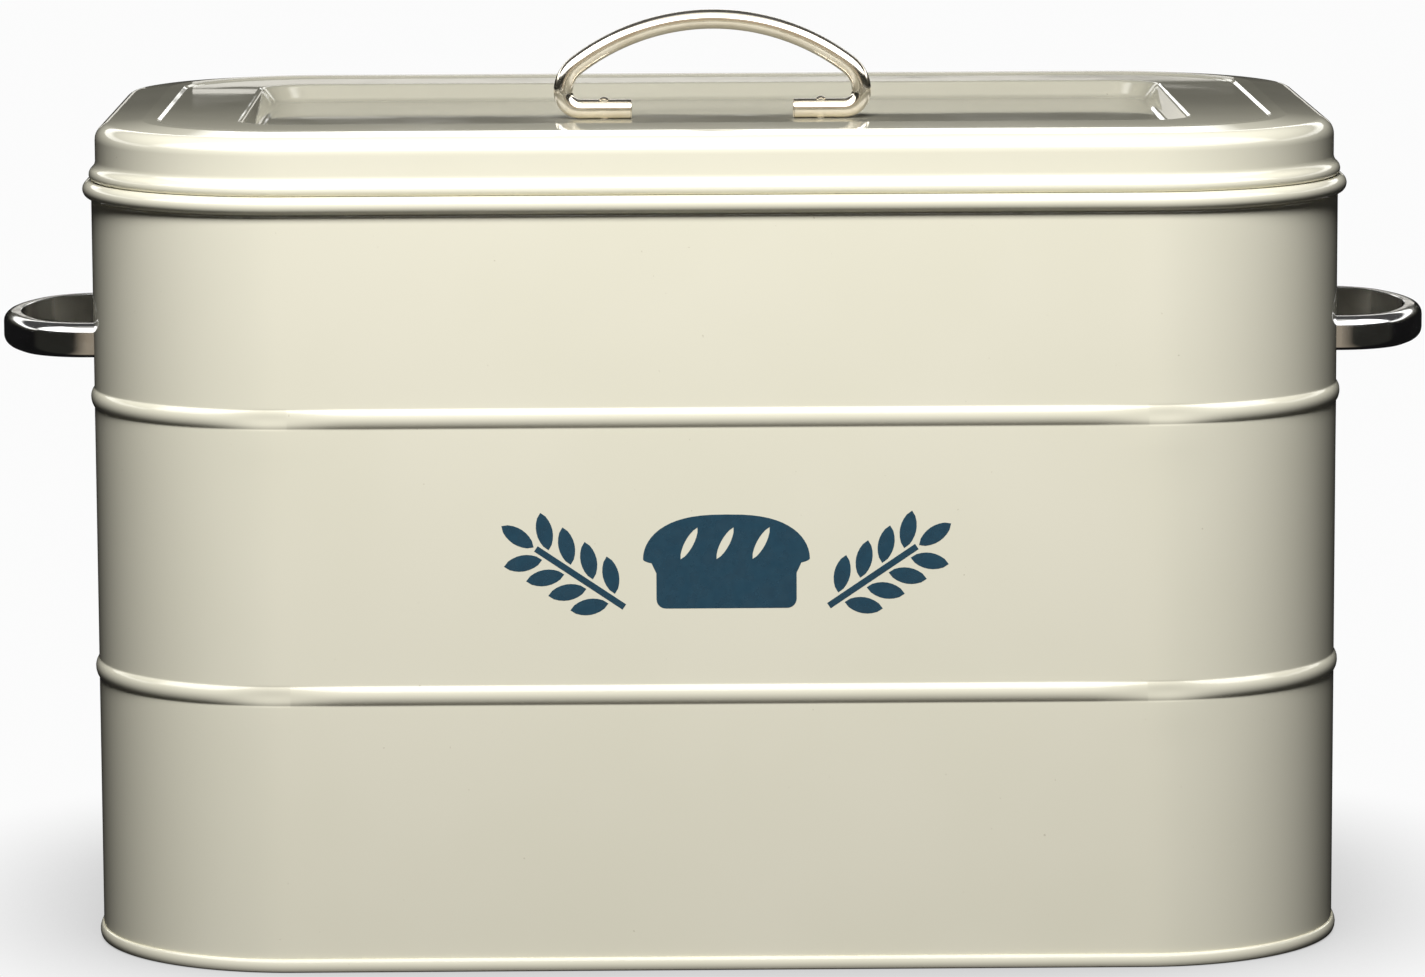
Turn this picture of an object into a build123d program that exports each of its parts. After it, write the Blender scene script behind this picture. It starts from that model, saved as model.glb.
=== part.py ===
from build123d import *
import os
from math import acos, atan, cos, degrees, radians, sin

# A pressed-steel bread bin with a lift-off lid. Millimetres, +Z up, the front faces -Y.
# The origin is the centre of the footprint, on the plane the bin stands on.

# Body shell. Plan sizes are to the outside of the plain wall.
BODY_WIDTH = 336.0
BODY_DEPTH = 210.0
CORNER_RADIUS = 54.5
SHEET = 0.6
WALL_FOOT_Z = 0.65
BEAD_CENTRES_Z = (74.5, 148.3)
BEAD_HEIGHT = 5.8
BEAD_PROUD = 1.0
BEAD_ROOT_RADIUS = 1.2

# Rim: the wall necks in, then curls outwards round a wire.
RIM_Z = 204.6
RIM_CURL_RADIUS = 2.4
RIM_INSET = 0.07
RIM_CURL_TURN = 280.0
NECK_START_Z = 200.6
NECK_RISE = 3.6
WIRE_CLEARANCE = 0.05

# Base pan: a recessed panel whose edge is folded up round the foot of the wall.
PANEL_Z = 3.0
PANEL_RAISE = 1.2
PANEL_STEP_INSET = 18.0
PANEL_STEP_ANGLE = 40.0
PANEL_STEP_RADIUS = 1.5
PAN_LEG_INSET = 0.95
PAN_SHOULDER_RADIUS = 0.9
PAN_FOLD_RADIUS = 0.45
PAN_FOLD_FLAT = 0.5
SEAM_LEAN = 25.0
SEAM_FACE_RADIUS = 3.0
SEAM_LIP_RADIUS = 0.7
SEAM_LIP_TURN = 25.0

# Lid. Insets are from the outside of the body wall to the outside of the lid sheet.
SKIRT_INSET = 2.7
SKIRT_BOTTOM_Z = 192.0
SKIRT_HEM_RADIUS = 0.9
SKIRT_HEM_TAIL = 1.2
LID_SEAT_Z = 204.45
LID_SEAT_RADIUS = 2.9
LID_SEAT_TURN = 78.0
LID_BEAD_PROUD = 0.57
LID_BEAD_NOSE_RADIUS = 1.9
LID_BEAD_RISE = 3.8
LID_WALL_INSET = 1.2
SHOULDER_START_Z = 217.75
SHOULDER_RADIUS = 4.1
BORDER_SLOPE = 5.0
CREST_INSET = 14.0
CREST_RADIUS = 2.0
STEP_INSET = 17.9
STEP_DROP = 0.45
STEP_ANGLE = 28.0
STEP_RADIUS = 0.6
RECESS_INSET = 39.5
RECESS_FLOOR_Z = 217.8
RECESS_ANGLE = 52.0
RECESS_TOP_RADIUS = 1.4
RECESS_BOTTOM_RADIUS = 3.0

# Lid handle: round wire with its feet turned in flat on the recess floor.
HANDLE_WIRE = 5.4
HANDLE_HALF_WIDTH = 44.0
HANDLE_TOP_Z = 248.0
HANDLE_CROWN_RADIUS = 62.3
HANDLE_FOOT_BEND = 4.8
HANDLE_FOOT_TIP_X = 22.3
HANDLE_END_CHAMFER = 0.4

# Rivets that hold the lid handle, and their washers under the lid.
RIVET_X = 30.0
RIVET_RADIUS = 1.5
RIVET_HOLE_RADIUS = 1.6
RIVET_TIP_HEIGHT = 0.7
RIVET_HEAD_RADIUS = 3.2
RIVET_HEAD_HEIGHT = 1.8
RIVET_WASHER_RADIUS = 5.0
RIVET_WASHER_THICKNESS = 0.8

# Side handles: a D-shaped bar that lies level, with its arms square to the side wall.
SIDE_HANDLE_Z = 161.3
BAR_HEIGHT = 9.4
BAR_THICKNESS = 5.0
BAR_OUTER_ROUND = 2.9
BAR_INNER_ROUND = 0.4
BAR_REACH = 29.0
BAR_HALF_SPAN = 39.5
BAR_ARM_STRAIGHT = 3.0
BAR_SHOULDER_RADIUS = 19.0

# Screws that hold the side handles from inside the bin, and their washers.
SCREW_RADIUS = 1.5
SCREW_REACH = 5.5
SCREW_HEAD_RADIUS = 2.8
SCREW_HEAD_HEIGHT = 1.9
SCREW_HEAD_ROUND = 0.8
DRIVE_WIDTH = 0.8
DRIVE_LENGTH = 2.9
DRIVE_DEPTH = 1.0
TAPPED_RADIUS = 1.52
TAPPED_DEPTH = 6.5
WALL_HOLE_RADIUS = 1.6
SCREW_WASHER_RADIUS = 4.0
SCREW_WASHER_THICKNESS = 0.6

# How far a cutting tool runs past the material.
OVERRUN = 1.0

# Plan distances from the centre of the bin to the axes of its four round corners.
AXIS_X = BODY_WIDTH / 2 - CORNER_RADIUS
AXIS_Y = BODY_DEPTH / 2 - CORNER_RADIUS


class BentSheet:
    """The middle line of a bent sheet, seen in section: straight runs and arcs that join smoothly.

    x is measured outwards from the corner axis and z upwards. Headings are in degrees: 0 is
    outwards and 90 is up. A positive turn is to the left.
    """

    def __init__(self, x, z, heading):
        self.x = x
        self.z = z
        self.heading = heading
        self.pieces = []

    def place(self, side):
        """The point that lies a distance to the left of the end of the line so far."""
        normal = radians(self.heading + 90)
        return (self.x + side * cos(normal), self.z + side * sin(normal))

    def run(self, length):
        """Go straight on."""
        start = (self.x, self.z)
        self.x += length * cos(radians(self.heading))
        self.z += length * sin(radians(self.heading))
        self.pieces.append(("run", start, self.heading, (self.x, self.z), self.heading, 0))
        return self

    def run_to_z(self, z):
        """Go straight on until a height."""
        return self.run((z - self.z) / sin(radians(self.heading)))

    def run_to_x(self, x):
        """Go straight on until a distance from the corner axis."""
        return self.run((x - self.x) / cos(radians(self.heading)))

    def bend(self, radius, turn):
        """Turn on an arc whose radius is to the middle of the sheet."""
        start = (self.x, self.z)
        start_heading = self.heading
        signed = radius if turn > 0 else -radius
        centre = self.place(signed)
        self.heading += turn
        spoke = radians(self.heading - 90)
        self.x = centre[0] + signed * cos(spoke)
        self.z = centre[1] + signed * sin(spoke)
        self.pieces.append(("bend", start, start_heading, (self.x, self.z), self.heading, signed))
        return self

    def jog(self, shift, rise, first_radius):
        """Shift sideways with two arcs that take up a rise. Left is positive."""
        both_radii = (rise**2 + shift**2) / (2 * abs(shift))
        turn = degrees(acos(1 - abs(shift) / both_radii))
        turn = turn if shift > 0 else -turn
        self.bend(first_radius, turn)
        return self.bend(both_radii - first_radius, -turn)

    def riser(self, shift, angle, first_radius, last_radius):
        """Shift sideways down a straight slope with rounded edges. Left is positive."""
        rounds = (first_radius + last_radius) * (1 - cos(radians(angle)))
        slope = (abs(shift) - rounds) / sin(radians(angle))
        turn = angle if shift > 0 else -angle
        return self.bend(first_radius, turn).run(slope).bend(last_radius, -turn)

    def edge(self, piece, side):
        """One side of one piece, as an edge in the section plane."""
        kind, start, start_heading, end, end_heading, radius = piece

        def beside(point, heading):
            normal = radians(heading + 90)
            return (point[0] + side * cos(normal), point[1] + side * sin(normal))

        first = beside(start, start_heading)
        last = beside(end, end_heading)
        if kind == "run":
            return Line(first, last)
        to_centre = radians(start_heading + 90)
        centre = (start[0] + radius * cos(to_centre), start[1] + radius * sin(to_centre))
        spoke = radians((start_heading + end_heading) / 2 - 90)
        reach = radius - side
        middle = (centre[0] + reach * cos(spoke), centre[1] + reach * sin(spoke))
        return ThreePointArc(first, middle, last)

    def section(self, thickness=SHEET):
        """The sheet's closed section, upright in the XZ plane."""
        half = thickness / 2
        left = [self.edge(piece, half) for piece in self.pieces]
        right = [self.edge(piece, -half) for piece in self.pieces]
        start_cap = Line(left[0] @ 0, right[0] @ 0)
        end_cap = Line(left[-1] @ 1, right[-1] @ 1)
        return Plane.XZ * make_face([*left, *right, start_cap, end_cap])


def merged(solids):
    """Fuse touching solids into one."""
    return solids[0].fuse(*solids[1:]).clean()


def round_the_bin(section):
    """Carry a section round the rounded rectangle: four straight runs and four round corners."""
    corner = revolve(section, axis=Axis.Z, revolution_arc=90)
    side = extrude(section, amount=AXIS_Y, both=True)
    front = extrude(section, amount=AXIS_X, both=True)
    solids = []
    for quarter, (sign_x, sign_y) in enumerate(((1, 1), (-1, 1), (-1, -1), (1, -1))):
        solids.append(Pos(sign_x * AXIS_X, sign_y * AXIS_Y, 0) * Rot(0, 0, 90 * quarter) * corner)
    for half_turn in (0, 180):
        solids.append(Rot(0, 0, half_turn) * Pos(AXIS_X, 0, 0) * side)
        solids.append(Rot(0, 0, half_turn + 90) * Pos(AXIS_Y, 0, 0) * front)
    return solids


def middle_slab(z):
    """The flat of a pressing between the four corner axes, with its middle at a height."""
    return Pos(0, 0, z) * Box(2 * AXIS_X, 2 * AXIS_Y, SHEET)


def outside(inset):
    """Distance from the corner axis to a face that is a given inset from the plain wall."""
    return CORNER_RADIUS - inset


def rod(radius, bottom_z, top_z):
    """An upright round rod between two heights."""
    return Pos(0, 0, (bottom_z + top_z) / 2) * Cylinder(radius, top_z - bottom_z)


def body_wall():
    """The wall: a band of sheet with two beads, a necked top and a curled rim."""
    sheet = BentSheet(outside(SHEET / 2), WALL_FOOT_Z, 90)
    for centre_z in BEAD_CENTRES_Z:
        sheet.run_to_z(centre_z - BEAD_HEIGHT / 2)
        half = BEAD_HEIGHT / 2
        both_radii = (half**2 + BEAD_PROUD**2) / (2 * BEAD_PROUD)
        sheet.jog(-BEAD_PROUD, half, BEAD_ROOT_RADIUS)
        sheet.jog(BEAD_PROUD, half, both_radii - BEAD_ROOT_RADIUS)
    sheet.run_to_z(NECK_START_Z)
    curl_radius = RIM_CURL_RADIUS - SHEET / 2
    neck_shift = RIM_INSET + curl_radius - SHEET / 2
    neck_radius = (NECK_RISE**2 + neck_shift**2) / (4 * neck_shift)
    sheet.jog(neck_shift, NECK_RISE, neck_radius)
    sheet.run_to_z(RIM_Z)
    sheet.bend(curl_radius, -RIM_CURL_TURN)
    wall = merged(round_the_bin(sheet.section()))
    punch = Rot(0, 90, 0) * Cylinder(WALL_HOLE_RADIUS, 2 * (SHEET + OVERRUN))
    for x, y in screw_places():
        wall -= Pos(x, y, SIDE_HANDLE_Z) * punch
    return wall


def rim_wire():
    """The stiffening wire inside the curl of the rim."""
    radius = RIM_CURL_RADIUS - SHEET - WIRE_CLEARANCE
    section = Plane.XZ * Pos(outside(RIM_INSET), RIM_Z) * Circle(radius)
    return merged(round_the_bin(section))


def base_pan():
    """The base: a panel with a raised middle, and an edge folded up round the foot of the wall."""
    sheet = BentSheet(0, PANEL_Z + PANEL_RAISE, 0)
    sheet.run_to_x(outside(PANEL_STEP_INSET))
    sheet.riser(-PANEL_RAISE, PANEL_STEP_ANGLE, PANEL_STEP_RADIUS, PANEL_STEP_RADIUS)
    sheet.run_to_x(outside(PAN_LEG_INSET) - PAN_SHOULDER_RADIUS)
    sheet.bend(PAN_SHOULDER_RADIUS, -90)
    sheet.run_to_z(SHEET / 2 + PAN_FOLD_RADIUS)
    sheet.bend(PAN_FOLD_RADIUS, 90)
    sheet.run(PAN_FOLD_FLAT)
    sheet.bend(PAN_FOLD_RADIUS, 90 - SEAM_LEAN)
    sheet.bend(SEAM_FACE_RADIUS, 2 * SEAM_LEAN)
    sheet.bend(SEAM_LIP_RADIUS, SEAM_LIP_TURN)
    return merged([*round_the_bin(sheet.section()), middle_slab(PANEL_Z + PANEL_RAISE)])


def lid_shell():
    """The lid: one pressing with a plug skirt, a bead that sits on the rim and a recessed top."""
    half = SHEET / 2
    hem_x = outside(SKIRT_INSET + half) - 2 * SKIRT_HEM_RADIUS
    hem_z = SKIRT_BOTTOM_Z + half + SKIRT_HEM_RADIUS + SKIRT_HEM_TAIL
    sheet = BentSheet(hem_x, hem_z, -90)
    sheet.run(SKIRT_HEM_TAIL)
    sheet.bend(SKIRT_HEM_RADIUS, 180)
    sheet.run_to_z(LID_SEAT_Z)
    sheet.bend(LID_SEAT_RADIUS, -LID_SEAT_TURN)
    bead_reach = outside(half - LID_BEAD_PROUD) - sheet.x
    sheet.bend(bead_reach / (1 - cos(radians(LID_SEAT_TURN))), LID_SEAT_TURN)
    sheet.jog(LID_WALL_INSET + LID_BEAD_PROUD, LID_BEAD_RISE, LID_BEAD_NOSE_RADIUS)
    sheet.run_to_z(SHOULDER_START_Z)
    sheet.bend(SHOULDER_RADIUS, 90 - BORDER_SLOPE)
    sheet.run_to_x(outside(CREST_INSET))
    sheet.bend(CREST_RADIUS, BORDER_SLOPE)
    sheet.run_to_x(outside(STEP_INSET))
    sheet.riser(STEP_DROP, STEP_ANGLE, STEP_RADIUS, STEP_RADIUS)
    sheet.run_to_x(outside(RECESS_INSET))
    recess_drop = sheet.z - (RECESS_FLOOR_Z - half)
    sheet.riser(recess_drop, RECESS_ANGLE, RECESS_TOP_RADIUS, RECESS_BOTTOM_RADIUS)
    sheet.run_to_x(0)
    lid = merged([*round_the_bin(sheet.section()), middle_slab(RECESS_FLOOR_Z - half)])
    punch = Cylinder(RIVET_HOLE_RADIUS, 2 * (SHEET + OVERRUN))
    for x in (-RIVET_X, RIVET_X):
        lid -= Pos(x, 0, RECESS_FLOOR_Z) * punch
    return lid


def lid_handle():
    """The lid handle: a shallow arch of round wire that ends in two flat feet."""
    radius = HANDLE_WIRE / 2
    foot_z = RECESS_FLOOR_Z + radius
    reach = HANDLE_HALF_WIDTH - radius
    bend_x = reach - HANDLE_FOOT_BEND
    bend_z = foot_z + HANDLE_FOOT_BEND
    crown_z = HANDLE_TOP_Z - radius - HANDLE_CROWN_RADIUS
    # The shoulder arc leaves the foot bend upright and meets the crown arc smoothly.
    rise = bend_z - crown_z
    spare_reach = HANDLE_CROWN_RADIUS - reach
    shoulder_radius = (HANDLE_CROWN_RADIUS**2 - reach**2 - rise**2) / (2 * spare_reach)
    lean = degrees(atan(rise / (reach - shoulder_radius)))
    half = [
        Line((HANDLE_FOOT_TIP_X, foot_z), (bend_x, foot_z)),
        CenterArc((bend_x, bend_z), HANDLE_FOOT_BEND, -90, 90),
        CenterArc((reach - shoulder_radius, bend_z), shoulder_radius, 0, lean),
        CenterArc((0, crown_z), HANDLE_CROWN_RADIUS, lean, 90 - lean),
    ]
    path = Plane.XZ * Wire([*half, *(edge.mirror(Plane.YZ) for edge in half)])
    start = Plane(origin=(-HANDLE_FOOT_TIP_X, 0, foot_z), z_dir=(-1, 0, 0))
    wire = sweep(start * Circle(radius), path=path)
    ends = wire.faces().filter_by(GeomType.PLANE)
    wire = chamfer(ends.edges(), HANDLE_END_CHAMFER)
    hole = rod(RIVET_HOLE_RADIUS, RECESS_FLOOR_Z - OVERRUN, RECESS_FLOOR_Z + HANDLE_WIRE + OVERRUN)
    for x in (-RIVET_X, RIVET_X):
        wire -= Pos(x, 0, 0) * hole
    return wire


def domed_cap(radius, height):
    """A shallow dome that stands on z = 0."""
    sphere_radius = (radius**2 + height**2) / (2 * height)
    return Pos(0, 0, height - sphere_radius) * Sphere(sphere_radius) & rod(radius, 0, height)


def lid_handle_rivets():
    """Rivets up through washer, lid and wire: a domed head below and a small set tip on top."""
    washer_bottom = RECESS_FLOOR_Z - SHEET - RIVET_WASHER_THICKNESS
    wire_top = RECESS_FLOOR_Z + HANDLE_WIRE
    shank = rod(RIVET_RADIUS, washer_bottom, wire_top)
    tip = Pos(0, 0, wire_top) * domed_cap(RIVET_RADIUS, RIVET_TIP_HEIGHT)
    head = Pos(0, 0, washer_bottom) * Rot(180, 0, 0) * domed_cap(RIVET_HEAD_RADIUS, RIVET_HEAD_HEIGHT)
    rivet = shank + tip + head
    return [Pos(x, 0, 0) * rivet for x in (-RIVET_X, RIVET_X)]


def washer(radius, hole_radius, thickness):
    """A flat washer that lies on z = 0."""
    return rod(radius, 0, thickness) - rod(hole_radius, -OVERRUN, thickness + OVERRUN)


def lid_handle_washers():
    """Washers between the lid and the rivet heads."""
    bottom_z = RECESS_FLOOR_Z - SHEET - RIVET_WASHER_THICKNESS
    ring = washer(RIVET_WASHER_RADIUS, RIVET_HOLE_RADIUS, RIVET_WASHER_THICKNESS)
    return [Pos(x, 0, bottom_z) * ring for x in (-RIVET_X, RIVET_X)]


def bar_arm_y():
    """Distance from the middle of a side handle to the middle of each of its arms."""
    return BAR_HALF_SPAN - BAR_THICKNESS / 2


def screw_places():
    """Plan places where the side handle screws pass through the side walls."""
    wall_x = BODY_WIDTH / 2
    arm_y = bar_arm_y()
    return [(x, y) for x in (-wall_x, wall_x) for y in (-arm_y, arm_y)]


def bar_section():
    """The bar's section: flat inside, and well rounded on its outer face."""
    bar = Rectangle(BAR_THICKNESS, BAR_HEIGHT)
    bar = fillet(bar.vertices().group_by(Axis.X)[-1], BAR_OUTER_ROUND)
    return fillet(bar.vertices().group_by(Axis.X)[0], BAR_INNER_ROUND)


def side_handle():
    """The right-hand side handle: a bar bent to a D in plan, tapped in the ends of its arms."""
    arm_y = bar_arm_y()
    wall_x = BODY_WIDTH / 2
    reach = BAR_REACH - BAR_THICKNESS / 2
    shoulder_y = arm_y - BAR_SHOULDER_RADIUS
    # The long outer arc meets both shoulder arcs smoothly when they turn by this much.
    spare_reach = reach - BAR_ARM_STRAIGHT - BAR_SHOULDER_RADIUS
    turn = 90 - 2 * degrees(atan(spare_reach / shoulder_y))
    outer_radius = BAR_SHOULDER_RADIUS + shoulder_y / cos(radians(turn))
    half = [
        Line((0, arm_y), (BAR_ARM_STRAIGHT, arm_y)),
        CenterArc((BAR_ARM_STRAIGHT, shoulder_y), BAR_SHOULDER_RADIUS, 90, -turn),
        CenterArc((reach - outer_radius, 0), outer_radius, 90 - turn, turn - 90),
    ]
    path = Wire([*half, *(edge.mirror(Plane.XZ) for edge in half)])
    start = Plane(origin=(0, arm_y, 0), x_dir=(0, 1, 0), z_dir=(1, 0, 0))
    bar = sweep(start * bar_section(), path=path)
    tapped_hole = Rot(0, 90, 0) * Cylinder(TAPPED_RADIUS, 2 * TAPPED_DEPTH)
    for y in (-arm_y, arm_y):
        bar -= Pos(0, y, 0) * tapped_hole
    return Pos(wall_x, 0, SIDE_HANDLE_Z) * bar


def screw():
    """A pan-head screw with a crossed drive. It points along +Z, and its head bears on z = 0."""
    shank = rod(SCREW_RADIUS, 0, SCREW_WASHER_THICKNESS + SHEET + SCREW_REACH)
    head = rod(SCREW_HEAD_RADIUS, -SCREW_HEAD_HEIGHT, 0)
    head = fillet(head.edges().group_by(Axis.Z)[0], SCREW_HEAD_ROUND)
    drive_z = -SCREW_HEAD_HEIGHT + DRIVE_DEPTH / 2
    slot = Box(DRIVE_LENGTH, DRIVE_WIDTH, DRIVE_DEPTH)
    drive = Pos(0, 0, drive_z) * (slot + Rot(0, 0, 90) * slot)
    return head + shank - drive


def at_screws(piece, inset):
    """Copies of a piece that points outwards, at each screw, a distance in from the wall."""
    copies = []
    for x, y in screw_places():
        side = 1 if x > 0 else -1
        copies.append(Pos(x - side * inset, y, SIDE_HANDLE_Z) * Rot(0, 90 * side, 0) * piece)
    return copies


def side_handle_screws():
    """Four screws from inside the bin into the arms of the side handles."""
    return at_screws(screw(), SHEET + SCREW_WASHER_THICKNESS)


def side_handle_washers():
    """Four washers between the screw heads and the inside of the wall."""
    ring = washer(SCREW_WASHER_RADIUS, WALL_HOLE_RADIUS, SCREW_WASHER_THICKNESS)
    return at_screws(ring, SHEET + SCREW_WASHER_THICKNESS)


def save(name, shape):
    """Write one node: a single solid, or a group of separate solids."""
    solids = shape if isinstance(shape, list) else [shape]
    group = [solid for piece in solids for solid in piece.solids()]
    export_step(group[0] if len(group) == 1 else Compound(group), f"parts/{name}.step")


os.makedirs("parts", exist_ok=True)
save("body_wall", body_wall())
save("base_pan", base_pan())
save("rim_wire", rim_wire())
save("lid_shell", lid_shell())
save("lid_handle", lid_handle())
save("lid_handle_rivets", lid_handle_rivets())
save("lid_handle_washers", lid_handle_washers())
right_handle = side_handle()
save("side_handle_right", right_handle)
save("side_handle_left", Rot(0, 0, 180) * right_handle)
save("side_handle_screws", side_handle_screws())
save("side_handle_washers", side_handle_washers())
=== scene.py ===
from math import acos, atan, ceil, copysign, cos, degrees, exp, pi, radians, sin

import bmesh
import bpy
from mathutils import Matrix, Vector


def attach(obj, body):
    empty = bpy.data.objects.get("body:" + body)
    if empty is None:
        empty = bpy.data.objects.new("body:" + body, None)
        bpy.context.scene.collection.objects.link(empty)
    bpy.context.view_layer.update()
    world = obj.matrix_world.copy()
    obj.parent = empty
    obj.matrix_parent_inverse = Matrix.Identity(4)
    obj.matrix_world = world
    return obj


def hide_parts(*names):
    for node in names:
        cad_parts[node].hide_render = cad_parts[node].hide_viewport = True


# The looks of a cream enamelled bread bin. Lengths below are in millimetres until a mesh is made, and
# angles are in degrees. The front faces -Y. Insets are measured inwards from the outside of the plain
# body wall.
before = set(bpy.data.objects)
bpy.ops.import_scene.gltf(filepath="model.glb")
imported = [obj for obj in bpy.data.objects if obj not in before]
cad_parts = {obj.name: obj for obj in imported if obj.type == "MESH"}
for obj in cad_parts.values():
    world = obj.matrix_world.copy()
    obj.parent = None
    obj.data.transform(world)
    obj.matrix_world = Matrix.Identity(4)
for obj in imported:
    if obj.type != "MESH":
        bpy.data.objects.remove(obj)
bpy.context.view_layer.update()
MM = 0.001

# Body wall. Its neck is tucked closer under the rim than the CAD's, by up to half a millimetre.
BODY_WIDTH = 336.0
BODY_DEPTH = 210.0
CORNER_RADIUS = 54.5
SHEET = 0.6
WALL_FOOT_Z = 0.65
BEAD_CENTRES_Z = (74.5, 148.3)
BEAD_HEIGHT = 5.8
BEAD_PROUD = 1.0
BEAD_ROOT_RADIUS = 1.2
RIM_Z = 204.6
RIM_CURL_RADIUS = 2.4
RIM_INSET = 0.07
RIM_CURL_TURN = 280.0
NECK_START_Z = 201.4
NECK_RISE = 2.9
NECK_ROOT_RADIUS = 1.1

# Marks where the rolled beads run from the flat front or back into a round corner: the bead flattens
# out, and the wall swells a little below it, less so on the left and below the lower bead.
MARK_LENGTH = 11.0
MARK_SHIFT = 5.0
MARK_FLATTENING = 0.92
MARK_FULLNESS = 0.65
SWELL_PROUD = 0.4
SWELL_DROP = 4.5
SWELL_HEIGHT = 5.0
SWELL_LEFT_SHARE = 0.55
SWELL_LOWER_SHARE = 0.6

# Base pan
PANEL_Z = 3.0
PANEL_RAISE = 1.2
PANEL_STEP_INSET = 18.0
PANEL_STEP_ANGLE = 40.0
PANEL_STEP_RADIUS = 1.5
PAN_LEG_INSET = 0.95
PAN_SHOULDER_RADIUS = 0.9
PAN_FOLD_RADIUS = 0.45
PAN_FOLD_FLAT = 0.5
SEAM_LEAN = 25.0
SEAM_FACE_RADIUS = 3.0
SEAM_LIP_RADIUS = 0.7
SEAM_LIP_TURN = 25.0

# Lid
SKIRT_INSET = 2.7
SKIRT_BOTTOM_Z = 192.0
SKIRT_HEM_RADIUS = 0.9
SKIRT_HEM_TAIL = 1.2
LID_SEAT_Z = 204.45
LID_SEAT_RADIUS = 2.9
LID_SEAT_TURN = 78.0
LID_BEAD_PROUD = 0.57
LID_BEAD_NOSE_RADIUS = 1.9
LID_BEAD_RISE = 3.8
LID_WALL_INSET = 1.2
SHOULDER_START_Z = 217.75
SHOULDER_RADIUS = 4.1
BORDER_SLOPE = 5.0
CREST_INSET = 14.0
CREST_RADIUS = 2.0
STEP_INSET = 17.9
STEP_DROP = 0.45
STEP_ANGLE = 28.0
STEP_RADIUS = 0.6
RECESS_INSET = 39.5
RECESS_FLOOR_Z = 217.8
RECESS_ANGLE = 52.0
RECESS_TOP_RADIUS = 1.4
RECESS_BOTTOM_RADIUS = 3.0
TOP_RIPPLE = 0.012
TOP_RIPPLE_LENGTH = 46.0

# Lid handle
HANDLE_WIRE = 5.4
HANDLE_HALF_WIDTH = 44.0
HANDLE_TOP_Z = 248.0
HANDLE_CROWN_RADIUS = 62.3
HANDLE_FOOT_BEND = 4.8
HANDLE_FOOT_TIP_X = 22.3
HANDLE_END_ROUND = 0.4

# Side handles
SIDE_HANDLE_Z = 161.3
BAR_HEIGHT = 9.4
BAR_THICKNESS = 5.0
BAR_OUTER_ROUND = 2.9
BAR_INNER_ROUND = 0.4
BAR_REACH = 29.0
BAR_HALF_SPAN = 39.5
BAR_ARM_STRAIGHT = 3.0
BAR_SHOULDER_RADIUS = 19.0

# Printed motif on the front: a loaf between two ears of wheat. Its parts are placed from its middle.
PRINT_X = 2.0
PRINT_Z = 110.0
PRINT_THICKNESS = 0.05
STALK_FOOT = (27.0, -12.0)
STALK_LEAN = 34.0
STALK_LENGTH = 28.0
STALK_HALF_WIDTH = 0.85
KERNEL_LENGTH = 10.2
KERNEL_WIDTH = 4.3
KERNEL_SPREAD = 44.0
KERNEL_CLEARANCE = 0.7
KERNEL_PAIRS = 4
FIRST_PAIR = 4.0
PAIR_PITCH = 7.0
LEAF_FULLNESS = 0.65
LOAF_HALF_WIDTH = 18.5
LOAF_BOTTOM_Z = -12.5
LOAF_CORNER_RADIUS = 2.5
LOAF_SIDE_TOP_Z = -3.1
CRUST_HALF_WIDTH = 22.0
CRUST_Z = 0.7
CRUST_RISE = 11.8
CRUST_SAG = 2.2
CRUST_SQUARENESS = 0.75
CRUST_START = -30.0
CRUST_TURN = 240.0
SLASHES_X = (-12.1, -2.6, 6.9)
SLASH_Z = 0.6
SLASH_LEAN = 62.0
SLASH_LENGTH = 9.6
SLASH_WIDTH = 2.3

# How finely curves are drawn
ARC_STEP = 8.0
LONGEST_CHORD = 2.0
LONGEST_RUN = 7.0
EDGE_LOOP = 0.25
CORNER_STEPS = 30
ROUND_WIRE_SIDES = 32
WIRE_END_ANGLES = (30, 60, 90)
ROUND_STEPS = 6
LEAF_STEPS = 8
CRUST_STEPS = 40
WELD_DISTANCE = 0.002
SHARP_ANGLE = 50.0

# Finishes. Colours are linear, each pair is a usual and a clouded tone, and LINES are how many
# times closer together the draw lines lie along x, y and z.
CREAM_TONES = ((0.770, 0.742, 0.610), (0.786, 0.756, 0.628))
PINHOLE_TONE = (0.46, 0.41, 0.30)
INK_TONES = ((0.009, 0.046, 0.080), (0.013, 0.054, 0.090))
NICKEL_TONES = ((0.90, 0.84, 0.74), (0.82, 0.75, 0.64))
CHROME_TONES = ((0.60, 0.60, 0.61), (0.52, 0.51, 0.51))
STEEL_TONES = ((0.52, 0.51, 0.49), (0.42, 0.40, 0.37))
ZINC_TONES = ((0.62, 0.63, 0.65), (0.48, 0.49, 0.50))
CREAM_ROUGHNESS = (0.022, 0.048)
INK_ROUGHNESS = (0.22, 0.34)
NICKEL_ROUGHNESS = (0.08, 0.17)
CHROME_ROUGHNESS = (0.06, 0.15)
STEEL_ROUGHNESS = (0.30, 0.45)
ZINC_ROUGHNESS = (0.24, 0.42)
CREAM_IOR = 1.52
WIRE_LINES = (1.0, 12.0, 12.0)
LEVEL_LINES = (1.0, 1.0, 14.0)

# Sockets of a Mix node that carry colours
MIX_FIRST = 6
MIX_SECOND = 7
MIX_RESULT = 2

# Camera. Its three angles are in radians.
CAMERA_PLACE = (-19.9, -1807.9, 378.1)
CAMERA_YAW = -0.01075
CAMERA_PITCH = -0.145
CAMERA_ROLL = -0.00455
CAMERA_LENS = 165.2
CAMERA_SENSOR = 36.0
CAMERA_SEES_FROM = 10.0
CAMERA_SEES_TO = 100000.0

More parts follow.
